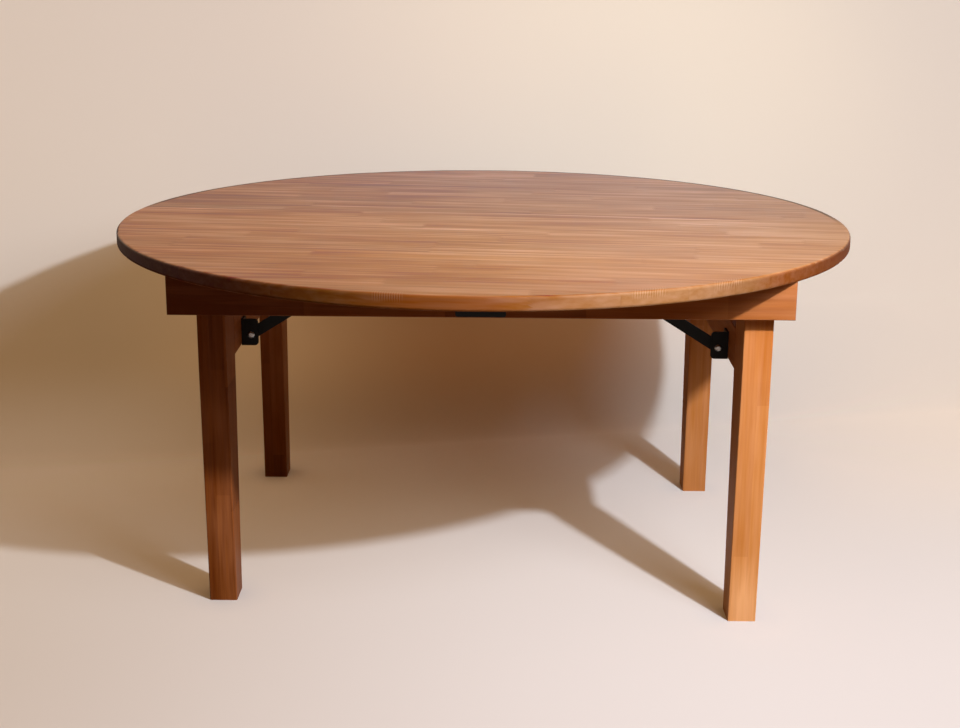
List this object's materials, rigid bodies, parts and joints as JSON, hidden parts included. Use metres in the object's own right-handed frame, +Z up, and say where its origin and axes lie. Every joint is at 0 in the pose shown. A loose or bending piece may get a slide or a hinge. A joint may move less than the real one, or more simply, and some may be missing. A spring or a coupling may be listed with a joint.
{
  "type": "folding low table",
  "caption": "Round low wooden table whose leg frames fold flat under the top, held by flat steel stays that slide in slotted plates.",
  "frame": {"origin": "on the floor under the middle of the round top", "axes": "+Z up, -Y is the front, the apron rails run along X"},
  "size_m": [1, 1, 0.472],
  "materials": {
    "top_wood": "satin oiled, warm brown",
    "frame_wood": "satin oiled, orange brown",
    "black_steel": "black paint, semi-matte",
    "bright_steel": "bright zinc"
  },
  "bodies": {
    "tabletop": {"back_cleat": "frame_wood", "back_pivot_block": "frame_wood", "back_rail": "frame_wood", "batten_screws": "bright_steel", "blank_plate": "black_steel", "blank_plate_screws": "bright_steel", "centre_batten": "frame_wood", "cleat_screws": "bright_steel", "front_cleat": "frame_wood", "front_pivot_block": "frame_wood", "front_rail": "frame_wood", "left_back_slot_plate": "black_steel", "left_front_slot_plate": "black_steel", "pivot_block_screws": "bright_steel", "right_back_slot_plate": "black_steel", "right_front_slot_plate": "black_steel", "slot_plate_screws": "bright_steel", "top_board_1": "top_wood", "top_board_2": "top_wood", "top_board_3": "top_wood", "top_board_4": "top_wood", "top_board_5": "top_wood", "top_board_6": "top_wood", "top_board_7": "top_wood", "top_board_8": "top_wood", "top_board_9": "top_wood"},
    "left_leg_frame": {"left_back_bracket": "black_steel", "left_back_leg": "frame_wood", "left_back_pivot_pin": "bright_steel", "left_bracket_screws": "bright_steel", "left_cross_rail": "frame_wood", "left_front_bracket": "black_steel", "left_front_leg": "frame_wood", "left_front_pivot_pin": "bright_steel", "left_pivot_washers": "bright_steel", "left_stay_bolts": "bright_steel", "left_stay_nuts": "bright_steel", "left_stay_spacers": "bright_steel"},
    "left_back_stay": {"left_back_slide_pin": "bright_steel", "left_back_stay": "black_steel"},
    "left_front_stay": {"left_front_slide_pin": "bright_steel", "left_front_stay": "black_steel"},
    "right_leg_frame": {"right_back_bracket": "black_steel", "right_back_leg": "frame_wood", "right_back_pivot_pin": "bright_steel", "right_bracket_screws": "bright_steel", "right_cross_rail": "frame_wood", "right_front_bracket": "black_steel", "right_front_leg": "frame_wood", "right_front_pivot_pin": "bright_steel", "right_pivot_washers": "bright_steel", "right_stay_bolts": "bright_steel", "right_stay_nuts": "bright_steel", "right_stay_spacers": "bright_steel"},
    "right_back_stay": {"right_back_slide_pin": "bright_steel", "right_back_stay": "black_steel"},
    "right_front_stay": {"right_front_slide_pin": "bright_steel", "right_front_stay": "black_steel"}
  },
  "joints": [
    {"name": "right_leg_fold", "type": "hinge", "parent": "tabletop", "child": "right_leg_frame", "pos_m": [0.33687, 0, 0.413], "axis": [0, 1, 0], "range_deg": [0, 90]},
    {"name": "right_front_stay_turn", "type": "hinge", "parent": "right_leg_frame", "child": "right_front_stay", "pos_m": [0.30787, -0.18159, 0.3365], "axis": [0, -1, 0], "range_deg": [0, 126.8]},
    {"name": "right_back_stay_turn", "type": "hinge", "parent": "right_leg_frame", "child": "right_back_stay", "pos_m": [0.30787, 0.13241, 0.3365], "axis": [0, -1, 0], "range_deg": [0, 126.8]},
    {"name": "left_leg_fold", "type": "hinge", "parent": "tabletop", "child": "left_leg_frame", "pos_m": [-0.33687, 0, 0.413], "axis": [0, -1, 0], "range_deg": [0, 90]},
    {"name": "left_front_stay_turn", "type": "hinge", "parent": "left_leg_frame", "child": "left_front_stay", "pos_m": [-0.30787, -0.13241, 0.3365], "axis": [0, 1, 0], "range_deg": [0, 126.8]},
    {"name": "left_back_stay_turn", "type": "hinge", "parent": "left_leg_frame", "child": "left_back_stay", "pos_m": [-0.30787, 0.18159, 0.3365], "axis": [0, 1, 0], "range_deg": [0, 126.8]}
  ],
  "couplings": [
    {"joint": "right_front_stay_turn", "follows": "right_leg_fold", "ratio": 1.4047},
    {"joint": "right_back_stay_turn", "follows": "right_leg_fold", "ratio": 1.4047},
    {"joint": "left_front_stay_turn", "follows": "left_leg_fold", "ratio": 1.4047},
    {"joint": "left_back_stay_turn", "follows": "left_leg_fold", "ratio": 1.4047}
  ]
}
